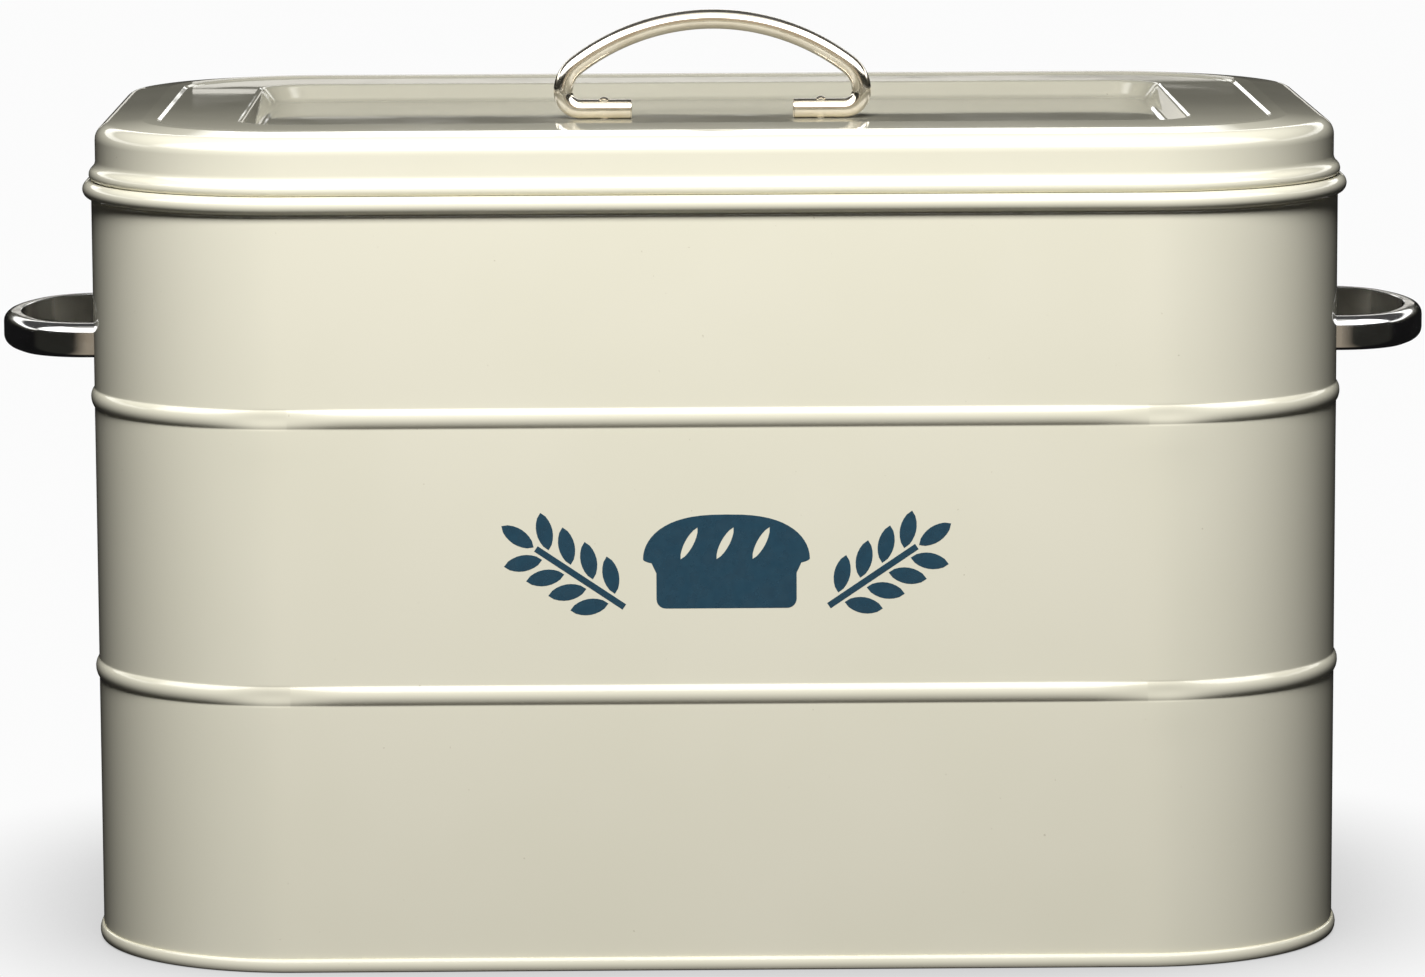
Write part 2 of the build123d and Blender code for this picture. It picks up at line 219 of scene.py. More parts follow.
# Studio. All of it but the floor turns with the camera about Z, so that each view has the same light.
ROOM_STRENGTH = 5.0
DOME_RADIUS = 6000.0
DOME_SEGMENTS = 64
BACK_STARTS = -0.10
BACK_FULL = 0.10
CARD_STRENGTH = 0.90
CARD_COLOUR = (1.0, 0.97, 0.89)
CARD_Y = 600.0
LID_CARD_HALF_WIDTH = 192.0
LID_CARD_Z = (250.0, 269.6, 266.5)
HANDLE_CARD_X = (215.0, 300.0)
HANDLE_CARD_Z = (222.0, 248.0)
SCRIM_Y = -200.0
SCRIM_HALF_WIDTH = 500.0
SCRIM_BOTTOM_Z = 385.0
SCRIM_TOP_Z = 570.0
SCRIM_PASSES = 0.35
KEY_PLACE = (-40.0, -905.0, 1220.0)
KEY_SIZE = (600.0, 400.0)
KEY_WATTS = 6.35
KEY_SPREAD = 80.0
TOP_PLACE = (0.0, -100.0, 2200.0)
TOP_SIZE = (1800.0, 1400.0)
TOP_WATTS = 1.0
TOP_SPREAD = 180.0
LAMP_AIM = (0.0, 0.0, 190.0)
LAMP_COLOUR = (1.0, 1.0, 0.985)
FLOOR_HALF_SIZE = 12000.0
FLOOR_TONE = 0.97
# The floor's contact shadow is painted: the floor darkens towards FLOOR_SHADE within FLOOR_SHADOW_REACH
# of anything close.
FLOOR_SHADE = 0.30
FLOOR_SHADOW_REACH = 70.0
FLOOR_SHADOW_SAMPLES = 16
SURROUND_SEEN = 0.97
SURROUND_FELT = 0.03
SURROUND_COLOUR = (1.0, 0.99, 0.96)

# Colours of the room that shiny surfaces see, by the height (0 level, 1 straight up) or the sideways
# part (0 straight on, 1 to the side) of the direction they are seen in
BLACK = (0.0, 0.0, 0.0)
WHITE = (1.0, 1.0, 0.98)
FRONT_HEIGHTS = (
    (0.0, (0.006, 0.006, 0.005)),
    (0.34, (0.008, 0.008, 0.007)),
    (0.50, WHITE),
    (0.89, WHITE),
    (0.93, (0.20, 0.20, 0.19)),
)
BACK_HEIGHTS = (
    (0.070, (0.002, 0.002, 0.002)),
    (0.130, (0.004, 0.004, 0.003)),
    (0.262, (0.030, 0.029, 0.025)),
    (0.285, (0.45, 0.45, 0.43)),
    (0.360, (0.45, 0.45, 0.43)),
    (0.420, (0.020, 0.020, 0.020)),
)
STRIP_HEIGHTS = ((0.140, BLACK), (0.148, WHITE), (0.185, WHITE), (0.195, BLACK))
STRIP_WIDTHS = ((0.060, (0.5, 0.5, 0.5)), (0.075, BLACK))
WARM_MIDDLE = ((0.15, (0.085, 0.072, 0.055)), (0.42, BLACK))
WARM_HEIGHTS = ((0.30, WHITE), (0.40, BLACK))

AXIS_X = BODY_WIDTH / 2 - CORNER_RADIUS
AXIS_Y = BODY_DEPTH / 2 - CORNER_RADIUS


# ---------------------------------------------------------------- bent lines

def stops_along(length):
    """Even stops along a straight run, with one more close to each end to hold the shading flat."""
    count = ceil(length / LONGEST_RUN)
    stops = [length * step / count for step in range(1, count + 1)]
    if length > 4 * EDGE_LOOP:
        stops = sorted(stops + [EDGE_LOOP, length - EDGE_LOOP])
    return stops


class BentLine:
    """Straight runs and arcs that join smoothly, kept as points with headings.

    Headings are in degrees: 0 is outwards along x and 90 is up along z. Left turns are positive.
    """

    def __init__(self, x, z, heading):
        self.points = [(x, z, heading)]

    def run(self, length):
        """Go straight on."""
        x, z, heading = self.points[-1]
        for along in stops_along(length):
            step_x = along * cos(radians(heading))
            step_z = along * sin(radians(heading))
            self.points.append((x + step_x, z + step_z, heading))
        return self

    def run_to_z(self, z):
        """Go straight on until a height."""
        return self.run((z - self.points[-1][1]) / sin(radians(self.points[-1][2])))

    def run_to_x(self, x):
        """Go straight on until a distance along x."""
        return self.run((x - self.points[-1][0]) / cos(radians(self.points[-1][2])))

    def bend(self, radius, turn):
        """Turn on an arc."""
        x, z, heading = self.points[-1]
        signed = copysign(radius, turn)
        centre_x = x + signed * cos(radians(heading + 90))
        centre_z = z + signed * sin(radians(heading + 90))
        arc_length = radius * radians(abs(turn))
        count = ceil(max(abs(turn) / ARC_STEP, arc_length / LONGEST_CHORD))
        for step in range(1, count + 1):
            now = heading + turn * step / count
            spoke = radians(now - 90)
            self.points.append((centre_x + signed * cos(spoke), centre_z + signed * sin(spoke), now))
        return self

    def jog(self, shift, rise, first_radius):
        """Shift sideways with two arcs that take up a rise. Left is positive."""
        both_radii = (rise**2 + shift**2) / (2 * abs(shift))
        turn = copysign(degrees(acos(1 - abs(shift) / both_radii)), shift)
        return self.bend(first_radius, turn).bend(both_radii - first_radius, -turn)

    def riser(self, shift, angle, first_radius, last_radius):
        """Shift sideways down a straight slope with rounded edges. Left is positive."""
        rounds = (first_radius + last_radius) * (1 - cos(radians(angle)))
        slope = (abs(shift) - rounds) / sin(radians(angle))
        turn = copysign(angle, shift)
        return self.bend(first_radius, turn).run(slope).bend(last_radius, -turn)

    def side(self, distance):
        """The points that lie a distance to the left of the line."""
        return [
            (x + distance * cos(radians(heading + 90)), z + distance * sin(radians(heading + 90)))
            for x, z, heading in self.points
        ]


def rounded_edge(point, backwards):
    """Points round the cut edge of a sheet, from its right side to its left or the other way round."""
    x, z, heading = point
    turned = heading + 180 if backwards else heading
    return [
        (x + SHEET / 2 * cos(radians(turned + angle)), z + SHEET / 2 * sin(radians(turned + angle)))
        for angle in (-45, 0, 45)
    ]


def sheet_outline(line, rounded_start=True, rounded_end=True):
    """The outline of a sheet that follows a line. An end that isn't rounded is left open."""
    right = line.side(-SHEET / 2)
    left = line.side(SHEET / 2)[::-1]
    if not rounded_start:
        return right + rounded_edge(line.points[-1], False) + left
    start = rounded_edge(line.points[0], True)
    if not rounded_end:
        return left + start + right
    return right + rounded_edge(line.points[-1], False) + left + start


def outside(inset):
    """Distance from a corner axis to a face that is a given inset from the plain wall."""
    return CORNER_RADIUS - inset


# ---------------------------------------------------------------- meshes

def finished(name, mesh_data, body, replaced, material):
    """Turn a bmesh into a smooth-shaded piece that rides on a body and stands for CAD nodes."""
    bmesh.ops.remove_doubles(mesh_data, verts=mesh_data.verts, dist=WELD_DISTANCE * MM)
    bmesh.ops.recalc_face_normals(mesh_data, faces=mesh_data.faces)
    mesh = bpy.data.meshes.new(name)
    mesh_data.to_mesh(mesh)
    mesh_data.free()
    mesh.shade_smooth()
    mesh.set_sharp_from_angle(angle=radians(SHARP_ANGLE))
    mesh.materials.append(material)
    piece = bpy.data.objects.new(name, mesh)
    bpy.context.scene.collection.objects.link(piece)
    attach(piece, body)
    if replaced:
        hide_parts(*replaced)


def plan_columns():
    """Places round the bin: a point between the corner axes, the way outwards, and a distance to
    the nearest place where a flat side meets a round corner."""
    axes = ((AXIS_X, AXIS_Y), (-AXIS_X, AXIS_Y), (-AXIS_X, -AXIS_Y), (AXIS_X, -AXIS_Y))
    columns = []
    for quarter, (x, y) in enumerate(axes):
        for step in range(CORNER_STEPS + 1):
            angle = radians(90 * (quarter + step / CORNER_STEPS))
            nearest = CORNER_RADIUS * radians(90) * min(step, CORNER_STEPS - step) / CORNER_STEPS
            columns.append((x, y, cos(angle), sin(angle), nearest))
        next_x, next_y = axes[(quarter + 1) % len(axes)]
        length = abs(next_x - x) + abs(next_y - y)
        way = radians(90 * (quarter + 1))
        for along in stops_along(length)[:-1]:
            share = along / length
            place = (x + share * (next_x - x), y + share * (next_y - y))
            columns.append((*place, cos(way), sin(way), min(along, length - along)))
    return columns


def no_change(x, y, z, nearest):
    """Leave a point of the sheet where it is."""
    return (0.0, 0.0)


def bead_marks(x, y, z, nearest):
    """Flatten the beads, and swell the wall below, where the front and back meet round corners."""
    in_corner = abs(x) > AXIS_X and abs(y) > AXIS_Y
    past_start = nearest if in_corner else -nearest
    facing_front_or_back = max(0.0, (abs(y) - AXIS_Y) / CORNER_RADIUS)
    near = facing_front_or_back * exp(-(((past_start - MARK_SHIFT) / MARK_LENGTH) ** 2))
    side_share = 1.0 if x > 0 else SWELL_LEFT_SHARE
    push = 0.0
    for bead_z, bead_share in zip(BEAD_CENTRES_Z, (SWELL_LOWER_SHARE, 1.0)):
        above = (z - bead_z) / (BEAD_HEIGHT / 2)
        if abs(above) < 1:
            bead_shape = (0.5 + 0.5 * cos(pi * above)) ** MARK_FULLNESS
            push -= MARK_FLATTENING * near * BEAD_PROUD * bead_shape
        below = (z - bead_z + SWELL_DROP) / SWELL_HEIGHT
        push += SWELL_PROUD * side_share * bead_share * near * exp(-(below**2))
    return (push, 0.0)


def top_ripple(x, y, z, nearest):
    """Very slight unevenness of the lid's broad flats, which a glossy finish shows."""
    wave = 2 * pi / TOP_RIPPLE_LENGTH
    # The factors only keep the waves from lining up with the sides and with each other.
    crossed = sin(wave * (x + 0.35 * y)) * cos(wave * 0.7 * (y - 0.2 * x) + 1.1)
    finer = 0.6 * sin(wave * 1.7 * y + 0.4)
    return (0.0, TOP_RIPPLE * (crossed + finer))


def carried_round(mesh_data, outline, is_closed, change=no_change):
    """Carry an outline round the rounded rectangle of the bin.

    change gives each point a push outwards and a lift, from its place and its distance to the
    nearest end of a round corner.
    """
    columns = plan_columns()
    rings = []
    for x, y, way_x, way_y, nearest in columns:
        ring = []
        for out, z in outline:
            point = (x + out * way_x, y + out * way_y)
            push, lift = change(*point, z, nearest)
            place = (point[0] + push * way_x, point[1] + push * way_y, z + lift)
            ring.append(mesh_data.verts.new(Vector(place) * MM))
        rings.append(ring)
    count = len(outline)
    for index, ring in enumerate(rings):
        following = rings[(index + 1) % len(rings)]
        for row in range(count if is_closed else count - 1):
            after = (row + 1) % count
            mesh_data.faces.new((ring[row], following[row], following[after], ring[after]))


def middle_flat(mesh_data, z, change=no_change):
    """The flat of a pressing between the four corner axes."""
    xs = [-AXIS_X] + [along - AXIS_X for along in stops_along(2 * AXIS_X)]
    ys = [-AXIS_Y] + [along - AXIS_Y for along in stops_along(2 * AXIS_Y)]
    grid = [
        [mesh_data.verts.new(Vector((x, y, z + change(x, y, z, 0)[1])) * MM) for x in xs]
        for y in ys
    ]
    for low, high in zip(grid, grid[1:]):
        for column in range(len(xs) - 1):
            mesh_data.faces.new((low[column], low[column + 1], high[column + 1], high[column]))


def swept(mesh_data, line, section, place, end_round=0.0):
    """Carry a closed section along a bent line. place turns (x, z, across) into a point.

    Each station is a point of the line, a scale for the section there, and a slide along the line.
    """
    stations = [(point, 1.0, 0.0) for point in line.points]
    if end_round:
        size = max(abs(left) for left, _ in section)
        for end, way in ((0, -1), (-1, 1)):
            point = line.points[end]
            cap = []
            for angle in WIRE_END_ANGLES:
                scale = 1 - end_round / size * (1 - cos(radians(angle)))
                cap.append((point, scale, way * end_round * (sin(radians(angle)) - 1)))
            stations[end] = (point, 1.0, -way * end_round)
            stations = cap[::-1] + stations if end == 0 else stations + cap
    rings = []
    for (x, z, heading), scale, slide in stations:
        x += slide * cos(radians(heading))
        z += slide * sin(radians(heading))
        normal = radians(heading + 90)
        ring = []
        for left, across in section:
            aside = scale * left
            point = place(x + aside * cos(normal), z + aside * sin(normal), scale * across)
            ring.append(mesh_data.verts.new(Vector(point) * MM))
        rings.append(ring)
    count = len(section)
    for ring, following in zip(rings, rings[1:]):
        for row in range(count):
            after = (row + 1) % count
            mesh_data.faces.new((ring[row], ring[after], following[after], following[row]))
    mesh_data.faces.new(rings[0])
    mesh_data.faces.new(rings[-1][::-1])


# ---------------------------------------------------------------- materials

class Finish:
    """A Principled material with procedural patterns. Sizes on the piece are in millimetres."""

    def __init__(self, name):
        self.material = bpy.data.materials.new(name)
        self.material.use_nodes = True
        self.tree = self.material.node_tree
        self.surface = self.tree.nodes["Principled BSDF"]
        self.place = self.add("ShaderNodeTexCoord").outputs["Object"]

    def add(self, kind, **settings):
        """Add a node with settings."""
        node = self.tree.nodes.new(kind)
        for name, value in settings.items():
            setattr(node, name, value)
        return node

    def set(self, name, value):
        """Give an input of the surface a value, or wire a socket to it."""
        if isinstance(value, bpy.types.NodeSocket):
            self.tree.links.new(value, self.surface.inputs[name])
        else:
            self.surface.inputs[name].default_value = value

    def stretched(self, scale):
        """The place on the piece, scaled differently along each axis."""
        mapping = self.add("ShaderNodeMapping")
        mapping.inputs["Scale"].default_value = scale
        self.tree.links.new(self.place, mapping.inputs["Vector"])
        return mapping.outputs["Vector"]

    def noise(self, size, detail=2.0, roughness=0.5, place=None):
        """Noise from 0 to 1 with features of about a size."""
        node = self.add("ShaderNodeTexNoise")
        node.inputs["Scale"].default_value = 1 / (size * MM)
        node.inputs["Detail"].default_value = detail
        node.inputs["Roughness"].default_value = roughness
        self.tree.links.new(place or self.place, node.inputs["Vector"])
        return node.outputs["Fac"]

    def ranged(self, factor, low, high, start=0.3, end=0.7):
        """Map a factor smoothly from start..end to low..high."""
        node = self.add("ShaderNodeMapRange", interpolation_type="SMOOTHSTEP")
        for name, value in (("From Min", start), ("From Max", end), ("To Min", low), ("To Max", high)):
            node.inputs[name].default_value = value
        self.tree.links.new(factor, node.inputs["Value"])
        return node.outputs["Result"]

    def blended(self, factor, first, second):
        """Mix two colours by a factor."""
        node = self.add("ShaderNodeMix", data_type="RGBA")
        self.tree.links.new(factor, node.inputs["Factor"])
        for index, colour in ((MIX_FIRST, first), (MIX_SECOND, second)):
            if isinstance(colour, bpy.types.NodeSocket):
                self.tree.links.new(colour, node.inputs[index])
            else:
                node.inputs[index].default_value = (*colour, 1.0)
        return node.outputs[MIX_RESULT]

    def bump(self, height, depth, below=None):
        """Bump of a depth, laid over an earlier bump."""
        node = self.add("ShaderNodeBump")
        node.inputs["Strength"].default_value = 1.0
        node.inputs["Distance"].default_value = depth * MM
        self.tree.links.new(height, node.inputs["Height"])
        if below is not None:
            self.tree.links.new(below, node.inputs["Normal"])
        return node.outputs["Normal"]


def enamel():
    """Thick glossy cream enamel with orange peel, faint clouding and a few pinholes."""
    finish = Finish("cream_enamel")
    clouds = finish.ranged(finish.noise(size=55.0, detail=3.0), 0.0, 1.0)
    cream = finish.blended(clouds, *CREAM_TONES)
    pinholes = finish.ranged(finish.noise(size=1.6, detail=1.0), 0.0, 0.5, start=0.80, end=0.86)
    finish.set("Base Color", finish.blended(pinholes, cream, PINHOLE_TONE))
    smears = finish.noise(size=30.0, detail=4.0, roughness=0.6)
    finish.set("Roughness", finish.ranged(smears, *CREAM_ROUGHNESS))
    finish.set("IOR", CREAM_IOR)
    ripple = finish.bump(finish.noise(size=12.0, detail=1.0), depth=0.008)
    peel = finish.bump(finish.noise(size=1.7, detail=2.0), depth=0.0016, below=ripple)
    finish.set("Normal", peel)
    return finish.material


def plated(name, tones, roughness, lines):
    """Bright plate over drawn metal: faint draw lines, smudges, and duller patches."""
    finish = Finish(name)
    patches = finish.ranged(finish.noise(size=9.0, detail=4.0), 0.0, 1.0, start=0.42, end=0.72)
    finish.set("Base Color", finish.blended(patches, *tones))
    finish.set("Metallic", 1.0)
    smudges = finish.noise(size=6.0, detail=5.0, roughness=0.65)
    finish.set("Roughness", finish.ranged(smudges, *roughness))
    drawn = finish.noise(size=0.6, detail=2.0, place=finish.stretched(lines))
    grain = finish.bump(drawn, depth=0.0015)
    finish.set("Normal", finish.bump(finish.noise(size=4.0, detail=2.0), depth=0.012, below=grain))
    return finish.material


def navy_print():
    """Screen-printed navy ink: slightly uneven and a little duller than the enamel."""
    finish = Finish("navy_ink")
    mottle = finish.ranged(finish.noise(size=2.2, detail=4.0), 0.0, 1.0)
    finish.set("Base Color", finish.blended(mottle, *INK_TONES))
    finish.set("Roughness", finish.ranged(finish.noise(size=4.0, detail=3.0), *INK_ROUGHNESS))
    finish.set("Normal", finish.bump(finish.noise(size=0.9, detail=2.0), depth=0.0025))
    return finish.material


def zinc():
    """Zinc-plated fasteners: pale grey with cloudy duller spots."""
    finish = Finish("zinc_plate")
    spots = finish.ranged(finish.noise(size=1.2, detail=4.0), 0.0, 1.0)
    finish.set("Base Color", finish.blended(spots, *ZINC_TONES))
    finish.set("Metallic", 1.0)
    finish.set("Roughness", finish.ranged(finish.noise(size=1.0, detail=3.0), *ZINC_ROUGHNESS))
    finish.set("Normal", finish.bump(finish.noise(size=0.5, detail=2.0), depth=0.004))
    return finish.material


cream = enamel()
nickel = plated("bright_nickel_plate", NICKEL_TONES, NICKEL_ROUGHNESS, WIRE_LINES)
chrome = plated("polished_chrome_plate", CHROME_TONES, CHROME_ROUGHNESS, LEVEL_LINES)
steel = plated("drawn_steel", STEEL_TONES, STEEL_ROUGHNESS, LEVEL_LINES)
ink = navy_print()
fastener = zinc()


# ---------------------------------------------------------------- pieces

def wall_piece():
    """The wall, with beads, necked top and curled rim."""
    line = BentLine(outside(SHEET / 2), WALL_FOOT_Z, 90)
    half = BEAD_HEIGHT / 2
    both_radii = (half**2 + BEAD_PROUD**2) / (2 * BEAD_PROUD)
    for centre_z in BEAD_CENTRES_Z:
        line.run_to_z(centre_z - half)
        line.jog(-BEAD_PROUD, half, BEAD_ROOT_RADIUS)
        line.jog(BEAD_PROUD, half, both_radii - BEAD_ROOT_RADIUS)
    line.run_to_z(NECK_START_Z)
    curl_radius = RIM_CURL_RADIUS - SHEET / 2
    neck_shift = RIM_INSET + curl_radius - SHEET / 2
    line.jog(neck_shift, NECK_RISE, NECK_ROOT_RADIUS)
    line.run_to_z(RIM_Z)
    line.bend(curl_radius, -RIM_CURL_TURN)
    mesh_data = bmesh.new()
    carried_round(mesh_data, sheet_outline(line), True, bead_marks)
    finished("wall_with_beads", mesh_data, "bin", ["body_wall"], cream)


def base_piece():
    """The base panel and its seam, folded up round the foot of the wall."""
    line = BentLine(0, PANEL_Z + PANEL_RAISE, 0)
    line.run_to_x(outside(PANEL_STEP_INSET))
    line.riser(-PANEL_RAISE, PANEL_STEP_ANGLE, PANEL_STEP_RADIUS, PANEL_STEP_RADIUS)
    line.run_to_x(outside(PAN_LEG_INSET) - PAN_SHOULDER_RADIUS)
    line.bend(PAN_SHOULDER_RADIUS, -90)
    line.run_to_z(SHEET / 2 + PAN_FOLD_RADIUS)
    line.bend(PAN_FOLD_RADIUS, 90)
    line.run(PAN_FOLD_FLAT)
    line.bend(PAN_FOLD_RADIUS, 90 - SEAM_LEAN)
    line.bend(SEAM_FACE_RADIUS, 2 * SEAM_LEAN)
    line.bend(SEAM_LIP_RADIUS, SEAM_LIP_TURN)
    mesh_data = bmesh.new()
    carried_round(mesh_data, sheet_outline(line, rounded_start=False), False)
    for side in (-SHEET / 2, SHEET / 2):
        middle_flat(mesh_data, PANEL_Z + PANEL_RAISE + side)
    finished("base_with_seam", mesh_data, "bin", ["base_pan"], cream)


def lid_piece():
    """The lid pressing, from the hem of its plug skirt to the middle of its recess."""
    half = SHEET / 2
    hem_x = outside(SKIRT_INSET + half) - 2 * SKIRT_HEM_RADIUS
    hem_z = SKIRT_BOTTOM_Z + half + SKIRT_HEM_RADIUS + SKIRT_HEM_TAIL
    line = BentLine(hem_x, hem_z, -90)
    line.run(SKIRT_HEM_TAIL)
    line.bend(SKIRT_HEM_RADIUS, 180)
    line.run_to_z(LID_SEAT_Z)
    line.bend(LID_SEAT_RADIUS, -LID_SEAT_TURN)
    bead_reach = outside(half - LID_BEAD_PROUD) - line.points[-1][0]
    line.bend(bead_reach / (1 - cos(radians(LID_SEAT_TURN))), LID_SEAT_TURN)
    line.jog(LID_WALL_INSET + LID_BEAD_PROUD, LID_BEAD_RISE, LID_BEAD_NOSE_RADIUS)
    line.run_to_z(SHOULDER_START_Z)
    line.bend(SHOULDER_RADIUS, 90 - BORDER_SLOPE)
    line.run_to_x(outside(CREST_INSET))
    line.bend(CREST_RADIUS, BORDER_SLOPE)
    line.run_to_x(outside(STEP_INSET))
    line.riser(STEP_DROP, STEP_ANGLE, STEP_RADIUS, STEP_RADIUS)
    line.run_to_x(outside(RECESS_INSET))
    recess_drop = line.points[-1][1] - (RECESS_FLOOR_Z - half)
    line.riser(recess_drop, RECESS_ANGLE, RECESS_TOP_RADIUS, RECESS_BOTTOM_RADIUS)
    line.run_to_x(0)
    mesh_data = bmesh.new()
    carried_round(mesh_data, sheet_outline(line, rounded_end=False), False, top_ripple)
    for side in (-half, half):
        middle_flat(mesh_data, RECESS_FLOOR_Z - half + side, top_ripple)
    finished("lid_pressing", mesh_data, "lid", ["lid_shell"], cream)


def round_section(radius):
    """A circle as a closed section."""
    turns = [2 * pi * step / ROUND_WIRE_SIDES for step in range(ROUND_WIRE_SIDES)]
    return [(radius * cos(turn), radius * sin(turn)) for turn in turns]


def bar_section():
    """The side handle's section: well rounded outside, nearly square inside."""
    corners = (
        (1, 1, BAR_OUTER_ROUND, 0), (-1, 1, BAR_INNER_ROUND, 90),
        (-1, -1, BAR_INNER_ROUND, 180), (1, -1, BAR_OUTER_ROUND, 270),
    )
    points = []
    for side, end, radius, start in corners:
        middle = (side * (BAR_THICKNESS / 2 - radius), end * (BAR_HEIGHT / 2 - radius))
        for step in range(ROUND_STEPS + 1):
            angle = radians(start + 90 * step / ROUND_STEPS)
            points.append((middle[0] + radius * cos(angle), middle[1] + radius * sin(angle)))
    return points


def lid_handle_piece():
    """The arch of round wire on the lid, with its feet turned in."""
    radius = HANDLE_WIRE / 2
    foot_z = RECESS_FLOOR_Z + radius
    reach = HANDLE_HALF_WIDTH - radius
    rise = foot_z + HANDLE_FOOT_BEND - (HANDLE_TOP_Z - radius - HANDLE_CROWN_RADIUS)
    spare_reach = HANDLE_CROWN_RADIUS - reach
    shoulder = (HANDLE_CROWN_RADIUS**2 - reach**2 - rise**2) / (2 * spare_reach)
    lean = degrees(atan(rise / (reach - shoulder)))
    foot = reach - HANDLE_FOOT_BEND - HANDLE_FOOT_TIP_X
    line = BentLine(-HANDLE_FOOT_TIP_X, foot_z, 180).run(foot)
    line.bend(HANDLE_FOOT_BEND, -90).bend(shoulder, -lean)
    line.bend(HANDLE_CROWN_RADIUS, 2 * lean - 180)
    line.bend(shoulder, -lean).bend(HANDLE_FOOT_BEND, -90).run(foot)
    mesh_data = bmesh.new()
    swept(mesh_data, line, round_section(radius), lambda x, z, across: (x, across, z), HANDLE_END_ROUND)
    finished("lid_handle_wire", mesh_data, "lid", ["lid_handle"], nickel)


def side_handle_piece(name, node, side):
    """One D-shaped bar. Its arms meet the side wall square."""
    arm_y = BAR_HALF_SPAN - BAR_THICKNESS / 2
    reach = BAR_REACH - BAR_THICKNESS / 2
    shoulder_y = arm_y - BAR_SHOULDER_RADIUS
    spare_reach = reach - BAR_ARM_STRAIGHT - BAR_SHOULDER_RADIUS
    turn = 90 - 2 * degrees(atan(spare_reach / shoulder_y))
    outer_radius = BAR_SHOULDER_RADIUS + shoulder_y / cos(radians(turn))
    line = BentLine(0, arm_y, 0).run(BAR_ARM_STRAIGHT)
    line.bend(BAR_SHOULDER_RADIUS, -turn).bend(outer_radius, 2 * turn - 180)
    line.bend(BAR_SHOULDER_RADIUS, -turn).run(BAR_ARM_STRAIGHT)
    mesh_data = bmesh.new()

    def at_wall(x, y, across):
        return (side * (BODY_WIDTH / 2 + x), y, SIDE_HANDLE_Z + across)

    swept(mesh_data, line, bar_section(), at_wall)
    finished(name, mesh_data, "bin", [node], chrome)


def leaf(x, z, way, length, width):
    """A pointed leaf shape that starts at a point and runs along a heading in degrees."""
    along_x = cos(radians(way))
    along_z = sin(radians(way))
    points = []
    for side in (1, -1):
        for step in range(LEAF_STEPS):
            share = step / LEAF_STEPS if side > 0 else 1 - step / LEAF_STEPS
            bulge = side * width / 2 * sin(pi * share) ** LEAF_FULLNESS if step else 0.0
            along = length * share
            points.append((x + along * along_x - bulge * along_z, z + along * along_z + bulge * along_x))
    return points


def wheat_ear(side):
    """Outlines of one ear of wheat that leans outwards: a stalk, pairs of kernels, and a tip."""
    foot_x, foot_z = STALK_FOOT
    along_x = cos(radians(STALK_LEAN))
    along_z = sin(radians(STALK_LEAN))

    def on_stalk(distance, aside):
        """A point a distance up the stalk and aside to its left."""
        x = foot_x + distance * along_x - aside * along_z
        z = foot_z + distance * along_z + aside * along_x
        return (x, z)

    half = STALK_HALF_WIDTH
    stalk_corners = ((0, -half), (STALK_LENGTH, -half), (STALK_LENGTH, half), (0, half))
    shapes = [[on_stalk(*corner) for corner in stalk_corners]]
    for pair in range(KERNEL_PAIRS):
        for turn in (1, -1):
            foot = on_stalk(FIRST_PAIR + PAIR_PITCH * pair, turn * (half + KERNEL_CLEARANCE))
            shapes.append(leaf(*foot, STALK_LEAN + turn * KERNEL_SPREAD, KERNEL_LENGTH, KERNEL_WIDTH))
    tip = on_stalk(STALK_LENGTH + KERNEL_CLEARANCE, 0)
    shapes.append(leaf(*tip, STALK_LEAN, KERNEL_LENGTH, KERNEL_WIDTH))
    return [[(side * x, z) for x, z in shape] for shape in shapes]


def loaf_corner(side, start):
    """One rounded bottom corner of the loaf, drawn anticlockwise from an angle."""
    middle_x = side * (LOAF_HALF_WIDTH - LOAF_CORNER_RADIUS)
    middle_z = LOAF_BOTTOM_Z + LOAF_CORNER_RADIUS
    angles = [radians(start + 90 * step / ROUND_STEPS) for step in range(ROUND_STEPS + 1)]
    return [
        (middle_x + LOAF_CORNER_RADIUS * cos(angle), middle_z + LOAF_CORNER_RADIUS * sin(angle))
        for angle in angles
    ]


def loaf():
    """Outlines of a tin loaf with slashes across its crust."""
    crust = []
    for step in range(CRUST_STEPS + 1):
        angle = radians(CRUST_START + CRUST_TURN * step / CRUST_STEPS)
        across = copysign(abs(cos(angle)) ** CRUST_SQUARENESS, cos(angle))
        height = CRUST_RISE if sin(angle) > 0 else CRUST_SAG
        crust.append((CRUST_HALF_WIDTH * across, CRUST_Z + height * sin(angle)))
    right_side = [*loaf_corner(1, 270), (LOAF_HALF_WIDTH, LOAF_SIDE_TOP_Z)]
    left_side = [(-LOAF_HALF_WIDTH, LOAF_SIDE_TOP_Z), *loaf_corner(-1, 180)]
    slashes = [leaf(x, SLASH_Z, SLASH_LEAN, SLASH_LENGTH, SLASH_WIDTH) for x in SLASHES_X]
    return [right_side + crust + left_side, *slashes]


